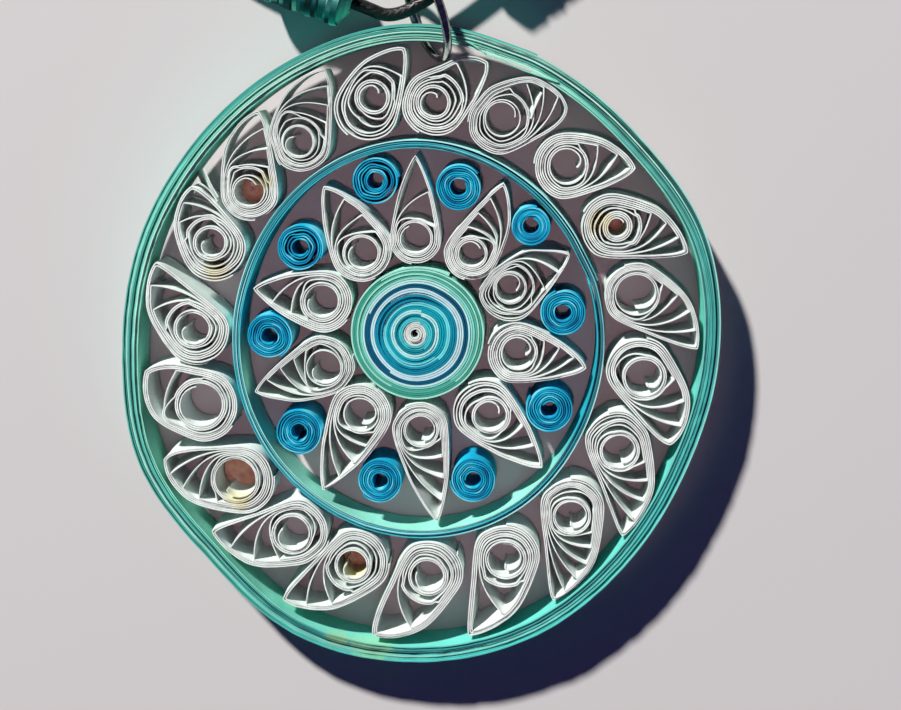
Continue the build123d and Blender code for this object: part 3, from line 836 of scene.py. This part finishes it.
# Each petal: radius of its eye, turns round the eye, loose turns between them and the wall, turns
# that cross the petal in a fan, turns pressed together outside, the wall that the fan springs from,
# seen from the head to the tip (1 left, -1 right), and how much of the tip's point is pressed blunt
OUTER_PETALS = [(1.2, 2, 1, 2, 2, -1, 0.5), (1.2, 2, 2, 2, 2, 1, 0.6), (1.55, 1, 1, 4, 2, 1, 1.1),
                (1.6, 1, 0, 3, 3, 1, 0.5), (0.8, 3, 1, 4, 2, 1, 0.3), (1.9, 1, 0, 4, 2, 1, 0.2),
                (1.7, 2, 0, 3, 2, 1, 0.9), (1.55, 2, 0, 4, 2, 1, 0.2), (1.5, 2, 0, 5, 2, 1, 0.5),
                (1.6, 2, 1, 2, 3, 1, 0.2), (1.55, 2, 1, 2, 3, 1, 0.7), (1.4, 2, 1, 3, 2, 1, 0.6),
                (1.65, 2, 0, 3, 2, 1, 0.4), (2.0, 2, 0, 4, 2, 1, 0.9), (2.1, 2, 0, 2, 3, -1, 0.5),
                (1.45, 2, 1, 3, 2, 1, 0.4), (1.25, 2, 1, 3, 2, 1, 0.6), (1.4, 1, 1, 4, 2, -1, 0.6),
                (1.3, 2, 1, 4, 2, -1, 0.4)]
INNER_PETALS = [(1.4, 2, 0, 2, 2, -1, 0.1), (1.2, 2, 0, 4, 2, 1, 0.2), (1.3, 2, 1, 3, 2, -1, 0.2),
                (1.5, 1, 0, 4, 2, 1, 0.5), (1.4, 2, 0, 3, 2, 1, 0.3), (1.4, 2, 0, 4, 2, 1, 0.2),
                (1.5, 1, 0, 4, 2, 1, 0.15), (1.6, 1, 0, 4, 2, -1, 0.3), (1.5, 2, 0, 3, 2, 1, 0.1),
                (1.45, 2, 0, 3, 2, -1, 0.3)]
GLUED_EYES = ("outer_petal_05", "outer_petal_12", "outer_petal_14", "outer_petal_18")
PETAL_PAPER = 0.13
PETAL_PITCH = 0.195
# Where a petal is so small that its pitch shrinks, the paper keeps this share of it
PAPER_SHARE = 0.68
# Turns stay apart by at least this share of their pitch
HELD_APART = 0.98
# How far along the wall the fan's last bend lies, and the share of a turn taken to pass to the next
FAN_REACH = 0.88
PASSING = 0.16
# How far past the tip, in degrees, a crossing turn meets the other wall: by chance, and its growth
FAR_TURN, FAR_GROWTH = (58, 70), 14
# A crossing turn's arc in shares of its span: how far it springs off the far wall, how straight it
# leaves the bend, and how much it bulges there
SPRING, STRAIGHT, BULGE = 0.42, 0.5, 0.05
# Up to this angle from the tip, in radians, the turns are pressed together. Past it they may
# slacken, fully so after as much more as SLACKENING says
SHOULDER, SLACKENING = 1.3, 0.6
# The higher, the crisper the blunted tip's corners
TIP_CORNERS = 12
# A wall far from square to its reach needs more of it for each turn, up to this many times
MOST_STRETCH = 5.0


def polar_points(eye, angles, reach):
    return eye + ways_at(angles) * reach[:, None]


def wall_bends(eye, outline, way, side, fan):
    """Where the fan's turns bend beside the tip, as turns away from it, nearest the head first."""
    spread = side * np.radians(np.linspace(0, 80, 240))
    wall = polar_points(eye, way + spread, reach_of(eye, way + spread, outline))
    run = np.concatenate([[0], np.cumsum(np.hypot(*np.diff(wall, axis=0).T))])
    return [np.interp(FAN_REACH * (fan - j) / fan * run[-1], run, spread) for j in range(fan)]


def crossing_turn(eye, angles, cap, way, bend_turn, far_turn):
    """One turn that follows the wall to its bend beside the tip, then crosses in an arc."""
    side = math.copysign(1, bend_turn)
    back_way = np.linspace(far_turn, bend_turn - side * math.tau, 200)
    reach = np.interp((way + back_way) % math.tau, angles % math.tau, cap, period=math.tau)
    wall = polar_points(eye, way + back_way, reach)
    bend, far = wall[-1], wall[0]
    apart = math.dist(bend, far)
    along = (far - wall[3]) / math.dist(far, wall[3])
    outward = (bend - eye) / math.dist(bend, eye)
    near = far + along * apart * SPRING
    pull = bend + (near - bend) * STRAIGHT + outward * apart * BULGE
    t = np.linspace(0, 1, 40)[1:-1, None]
    across = ((1 - t) ** 3 * bend + 3 * t * (1 - t) ** 2 * pull + 3 * t ** 2 * (1 - t) * near
              + t ** 3 * far)
    return reach_of(eye, angles, np.concatenate([wall, across]))


def petal_radii(eye, outline, tip, row, rng):
    """A petal's angles, the radii and slack of its turns at them, and its paper's thickness."""
    eye_radius, around, between, fan, pressed, side, blunt = row
    turns = around + between + fan + pressed
    way = math.atan2(tip[1] - eye[1], tip[0] - eye[0])
    bends = wall_bends(eye, outline, way, side, fan)
    back = way + math.pi + rng.uniform(-0.5, 0.5)
    spread = np.concatenate([np.radians(np.arange(-180, 180, 3.5)),
                             np.radians(np.arange(-27, 28, 1.5)), bends, [0.0]])
    angles = np.unique(np.round((way + spread - back) % math.tau, 4)) + back
    from_tip = (angles - way + math.pi) % math.tau - math.pi

    # The wall, pressed blunt at its tip, and how much of the reach each turn takes where it slants
    limit = reach_of(eye, angles, outline)
    flat = (math.dist(tip, eye) - blunt) / np.cos(np.clip(from_tip, -SHOULDER, SHOULDER))
    limit = (limit ** -TIP_CORNERS + flat ** -TIP_CORNERS) ** (-1 / TIP_CORNERS)
    step = (np.roll(angles, -1) - np.roll(angles, 1)) % math.tau
    slope = np.abs((np.roll(limit, -1) - np.roll(limit, 1)) / step / limit)
    slope = np.maximum(np.roll(slope, 1), np.maximum(slope, np.roll(slope, -1)))
    stretch = np.minimum(np.sqrt(1 + slope ** 2), MOST_STRETCH)
    pitch = min(PETAL_PITCH, ((limit - eye_radius) / stretch).min() / (turns + 1))
    away = np.clip((np.abs(from_tip) - SHOULDER) / SLACKENING, 0, 1)
    caps = [limit - (PETAL_PAPER / 2 + (turns - k) * pitch) * stretch for k in range(turns + 1)]
    radii = []
    for k, cap in enumerate(caps):
        low = eye_radius + PETAL_PAPER / 2 + k * pitch
        if k <= around:
            r = np.full(len(angles), low)
        elif k <= around + between:
            share = (k - around) / (between + 1)
            r = np.minimum(low + (cap - low) * share, low + 1.1 * share)
        elif k <= around + between + fan:
            j = k - around - between - 1
            far_turn = -side * math.radians(rng.uniform(*FAR_TURN) + FAR_GROWTH * j / fan)
            r = crossing_turn(eye, angles, cap, way, bends[j], far_turn)
            r = r - (r - low) * away * wander(rng, 3, len(angles)) * (0.75 - 0.35 * j / fan)
        else:
            slack = wander(rng, 3, len(angles)) * 0.3 * (turns - k) / pressed
            r = cap - (cap - low) * away * slack
        radii.append(np.clip(r, low, np.maximum(cap, low)))

    # No turn crosses another: each is pushed out by the one inside it, then in by the one outside
    for k in range(1, turns + 1):
        radii[k] = np.maximum(radii[k], radii[k - 1] + pitch * HELD_APART)
    for k in range(turns - 1, -1, -1):
        radii[k] = np.minimum(radii[k], radii[k + 1] - pitch * HELD_APART)
    slack = [np.clip((caps[k] - radii[k] - 0.15) / 0.5, 0, 1) * (1.0 if k > around else 0.0)
             for k in range(turns + 1)]
    return angles, radii, slack, min(PETAL_PAPER, PAPER_SHARE * pitch)


def inner_end(eye, angles, radii, rng):
    """The strip's first part turn, whose end springs a little way into the eye."""
    count = len(angles)
    start = int(count * rng.uniform(0.25, 0.85))
    spring = radii[0] * rng.uniform(0.05, 0.55)
    return [at(eye, radii[i] - spring * ((count - i) / (count - start)) ** 2, angles[i])
            for i in range(start, count)]


def formed(name, form, lay, slot):
    """A form laid in its place, as a finished smooth object."""
    mesh = bpy.data.meshes.new(name)
    form.to_mesh(mesh)
    form.free()
    mesh.transform(lay)
    mesh.polygons.foreach_set("use_smooth", [True] * len(mesh.polygons))
    mesh.materials.append(MATERIALS[slot])
    piece = bpy.data.objects.new(name, mesh)
    scene.collection.objects.link(piece)
    return piece


def glue_film(name, eye, radius, sides=48):
    """A thin film on the floor of an eye, drawn up a little where it meets the paper."""
    form = bmesh.new()
    rings = []
    for share in (0.25, 0.5, 0.75, 0.9, 1.0):
        rings.append([])
        for k in range(sides):
            x, y, _ = at(eye, radius * share, math.tau * k / sides)
            z = 0.12 + 0.35 * share ** 6 + 0.03 * math.sin(k * 0.7) * share
            rings[-1].append(form.verts.new((x, y, z)))
    middle = form.verts.new((eye[0], eye[1], 0.11))
    for k in range(sides):
        form.faces.new((middle, rings[0][k], rings[0][(k + 1) % sides]))
        for one, two in zip(rings, rings[1:]):
            form.faces.new((one[k], two[k], two[(k + 1) % sides], one[(k + 1) % sides]))
    return settle(formed(name, form, LIE @ Matrix.Scale(MM, 4), "dried_glue"), "white_paper")


def petal_piece(name, node, row, draw):
    """One petal: its strip wound from the eye inside the outline of its CAD node."""
    rng = random.Random(draw)
    points, a, b = top_edges(node)
    eye = eye_of(a, b, points.min(axis=0), points.max(axis=0))
    corners = outline_of(node, eye)
    farthest = max(range(len(corners)), key=lambda i: math.dist(corners[i], eye))
    outline = rounded(corners, 8, sharp=farthest)
    angles, radii, slack, paper = petal_radii(eye, outline, corners[farthest], row, rng)
    line, levels = spiral(eye, angles, radii, PASSING)
    turns = len(radii) - 1
    first = inner_end(eye, angles, radii[0], rng)
    before = [0.0] * len(first)
    marks = {"wound": before + [level / turns for level in levels],
             "loose": before + [v for k in range(turns) for v in slack[k]] + [0.0],
             "turn": before + levels}
    if node in GLUED_EYES:
        glue_film(f"glue_film_{node[-2:]}", eye, row[0] + 0.05)
    piece = stood(name, first + line, marks, "white_paper", paper=paper * MM, seed=draw * 0.53,
                  uneven_edge=0.3 * MM, loose_lean=2.2 * MM, turn_step=0.35 * MM)
    return settle(on_pendant(piece), "white_paper", node)


for row_name, rows, draw in (("inner", INNER_PETALS, 40), ("outer", OUTER_PETALS, 60)):
    for number, row in enumerate(rows, start=1):
        petal_piece(f"{row_name}_teardrop_{number:02d}", f"{row_name}_petal_{number:02d}", row,
                    draw + number)


# ---------------------------------------------------------------- jump ring, beads and crimps

def skinned(name, rings, lay, close=False):
    """A steel form skinned over rings of points, with flat ends unless it closes."""
    form = bmesh.new()
    rings = [[form.verts.new(point) for point in ring] for ring in rings]
    sides = len(rings[0])
    for one, two in zip(rings, rings[1:] + (rings[:1] if close else [])):
        for k in range(sides):
            form.faces.new((one[k], one[(k + 1) % sides], two[(k + 1) % sides], two[k]))
    if not close:
        form.faces.new(rings[0])
        form.faces.new(rings[-1])
    bmesh.ops.recalc_face_normals(form, faces=form.faces)
    return formed(name, form, lay, "steel")


def turned(name, profile, lay, close=False, sides=32):
    """A steel form turned about its own X axis from pairs of place and radius, in millimetres."""
    around = [math.tau * k / sides for k in range(sides)]
    return skinned(name, [[Vector((x, r * math.cos(a), r * math.sin(a))) * MM for a in around]
                          for x, r in profile], lay, close)


def turn_about(axis, angle):
    return Matrix.Rotation(math.radians(angle), 4, axis)


WIRE = 0.85 * MM
JUMP_BEND = 4.725 * MM
JUMP_PLACE = Vector((1.057, 33.638, 2.9)) * MM
JUMP_SLIT = 0.12 * MM


def jump_ring(steps=128, sides=24):
    """A bent wire ring, its two ends butted with a fine slit."""
    slit = JUMP_SLIT / JUMP_BEND
    rings = []
    for k in range(steps + 1):
        a = slit / 2 + (math.tau - slit) * k / steps
        # The wire's cut ends are a little rounded
        r = WIRE / 2 * (0.86 if k in (0, steps) else 1.0)
        out = Vector((math.cos(a), math.sin(a), 0))
        rings.append([out * (JUMP_BEND + r * math.cos(math.tau * s / sides))
                      + Vector((0, 0, r * math.sin(math.tau * s / sides))) for s in range(sides)])
    lay = (LIE @ Matrix.Translation(JUMP_PLACE) @ turn_about("Z", 20) @ turn_about("Y", 110)
           @ turn_about("Z", 70))
    settle(skinned("steel_jump_ring", rings, lay), "steel", "jump_ring")


jump_ring()

BEAD_LENGTH = 9.5
BEAD_HEIGHT = 3.0
BEAD_ROLL, BEAD_BORE, BEAD_TURNS = 2.5, 0.86, 9
# The narrow strip round the roll: its turns, where they start, how far they run, and their radius
BEAD_WRAPS = 17
WRAP_START, WRAP_RUN, WRAP_RADIUS = 1.1, 7.3, 2.72
BEADS = {"left": ((-6.625, 31.746), 160.5), "right": ((5.275, 36.196), 38.0)}


def bead(side, count=64):
    """A roll of strip on the cord, wrapped outside by a narrow strip wound along it."""
    (x, y), heading = BEADS[side]
    full = np.full(count, 1.0)
    radii = wound_band(full * BEAD_ROLL, full * BEAD_BORE, BEAD_TURNS, random.Random(side), 0.15,
                       bunch=1.0)
    roll, levels = spiral((0, 0), seams(0, count), radii)
    roll = [(px, py, BEAD_LENGTH / 2) for px, py, _ in roll]
    # The roll's outer turns are narrower, so its ends are rounded
    narrow = [max(0.0, 0.85 - 0.11 * level) * MM for level in levels]
    wrap = []
    for k in range(BEAD_WRAPS * count + 1):
        turn = k / count
        swell = (0.07 * math.sin(2.3 * turn) + 0.06 * math.sin(5.1 * turn + 1)
                 + 0.03 * math.sin(9.7 * turn))
        px, py, _ = at((0, 0), WRAP_RADIUS + swell, math.tau * turn)
        wrap.append((px, py, WRAP_START + WRAP_RUN * turn / BEAD_WRAPS))
    name = f"wound_bead_{side}"
    marks = {"wound": [1.2 + level / 40 for level in levels], "turn": levels, "narrow": narrow}
    core = stood(name + "_roll", roll, marks, "bead_paper", strip_width=BEAD_LENGTH * MM,
                 paper=0.15 * MM, uneven_edge=0.1 * MM)
    skin = stood(name, wrap, {"wound": [k / len(wrap) for k in range(len(wrap))]}, "bead_paper",
                 strip_width=0.62 * MM, paper=0.11 * MM, uneven_edge=0.2 * MM, set_lean=-0.1 * MM)
    lay = (Matrix.Translation(Vector((x, y, BEAD_HEIGHT)) * MM) @ turn_about("Z", heading)
           @ turn_about("Y", 90))
    for piece in (core, skin):
        piece.data.transform(lay)
    settle(core, "bead_paper", f"bead_{side}")
    settle(skin, "bead_paper")
    return [core, skin]


bead_pieces = bead("left") + bead("right")

CRIMP_RADIUS, CRIMP_GROOVE = 1.14, 0.98
CRIMP_EYE_AT, CRIMP_EYE_RADIUS, CRIMP_EYE_WIRE = 7.0, 0.83, 0.3


def crimp(side, start, heading):
    """A fluted barrel squeezed on the cord's end, with a ring for a clasp."""
    lay = Matrix.Translation(Vector(start) * MM) @ turn_about("Z", heading)
    profile = [(0.0, 0.8), (0.0, 1.05), (0.12, CRIMP_RADIUS)]
    for groove in range(5):
        x = 0.9 + 0.85 * groove
        profile += [(x, CRIMP_RADIUS), (x + 0.18, CRIMP_GROOVE), (x + 0.36, CRIMP_GROOVE),
                    (x + 0.54, CRIMP_RADIUS)]
    profile += [(5.6, CRIMP_RADIUS), (5.85, 1.02), (6.0, 0.7)]
    barrel = turned(f"steel_crimp_{side}", profile, lay)
    ring = [(0.32 * math.sin(math.tau * k / 12),
             CRIMP_EYE_RADIUS + CRIMP_EYE_WIRE * math.cos(math.tau * k / 12)) for k in range(12)]
    eye_lay = lay @ Matrix.Translation((CRIMP_EYE_AT * MM, 0, 0)) @ turn_about("Z", 90)
    eye = turned(f"steel_crimp_eye_{side}", ring, eye_lay, close=True)
    settle(barrel, "steel", f"crimp_{side}")
    settle(eye, "steel")
    return [barrel, eye]


ends = crimp("left", CORD_ROUTE[0], 161.0) + crimp("right", (15.456, 67.058, 1.15), 205.0)


# ---------------------------------------------------------------- table and light

TABLE_HALF = 6.0
TABLE_COLOUR = (0.632, 0.617, 0.625, 1)
SKY_COLOUR, SKY_STRENGTH = (0.34, 0.28, 1.0, 1), 0.065


def table():
    mesh = bpy.data.meshes.new("table")
    h = TABLE_HALF
    mesh.from_pydata([(-h, -h, 0), (h, -h, 0), (h, h, 0), (-h, h, 0)], [], [(0, 1, 2, 3)])
    _, shader = new_material("table_sheet")
    shader.inputs["Base Color"].default_value = TABLE_COLOUR
    shader.inputs["Roughness"].default_value = 0.8
    mesh.materials.append(MATERIALS["table_sheet"])
    floor = bpy.data.objects.new("table", mesh)
    scene.collection.objects.link(floor)


def lamp(name, kind, place, power, colour):
    """A lamp aimed at the origin, or straight down if it hangs above the pendant."""
    data = bpy.data.lights.new(name, kind)
    data.energy = power
    data.color = colour
    light = bpy.data.objects.new(name, data)
    scene.collection.objects.link(light)
    light.location = place
    if kind == "AREA":
        light.rotation_euler = (-Vector(place)).to_track_quat("-Z", "Y").to_euler()
    return data


table()
key = lamp("key_softbox", "AREA", (-0.98, 1.70, 1.28), 95.5, (1.0, 0.966, 0.920))
key.shape = "DISK"
key.size = 0.16
# A weak spot above the pendant alone, so that its shadow on the table stays dark
spot = lamp("pendant_spot", "SPOT", (*PENDANT_SEAT.to_2d(), 0.30), 0.52, (1.0, 0.60, 0.68))
spot.spot_size = math.radians(11.5)
spot.spot_blend = 0.08
spot.shadow_soft_size = 0.004
world = bpy.data.worlds.new("studio")
scene.world = world
world.use_nodes = True
background = world.node_tree.nodes["Background"]
background.inputs["Color"].default_value = SKY_COLOUR
background.inputs["Strength"].default_value = SKY_STRENGTH
